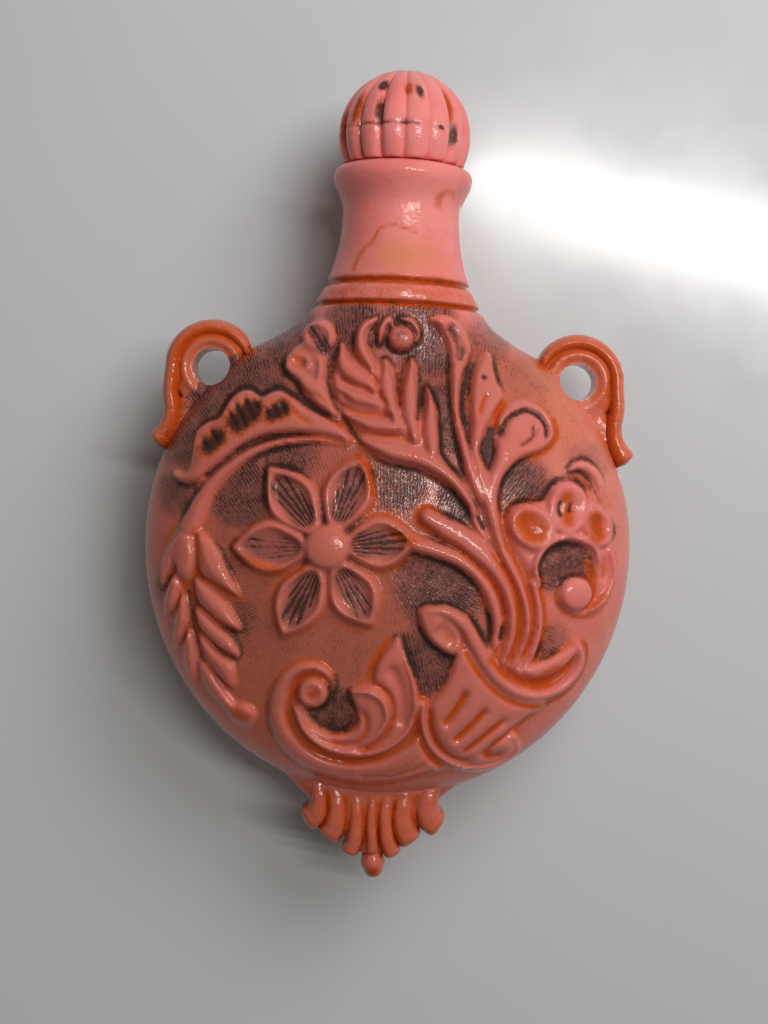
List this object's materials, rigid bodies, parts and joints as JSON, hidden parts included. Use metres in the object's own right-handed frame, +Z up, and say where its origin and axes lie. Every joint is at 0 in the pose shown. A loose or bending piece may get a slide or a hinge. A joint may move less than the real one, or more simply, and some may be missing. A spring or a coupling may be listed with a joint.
{
  "type": "snuff bottle",
  "caption": "Flattened round snuff bottle with a waisted neck, scroll handles, a fluted foot and a ribbed ball stopper, moulded with flowers, leaves and a horn of plenty.",
  "frame": {"origin": "centre of the small flat boss on the back that the bottle lies on", "axes": "+Y from the foot to the stopper along the bottle, +Z up out of the decorated front, +X to the right as the front is seen"},
  "size_m": [0.0456, 0.0765, 0.0221],
  "materials": {
    "coral_body": "glossy, stained orange and brown in the hollows",
    "coral_stopper": "glossy, stained orange and brown in some grooves"
  },
  "bodies": {
    "root": {"bottle": "coral_body", "stopper": "coral_stopper"}
  },
  "joints": []
}
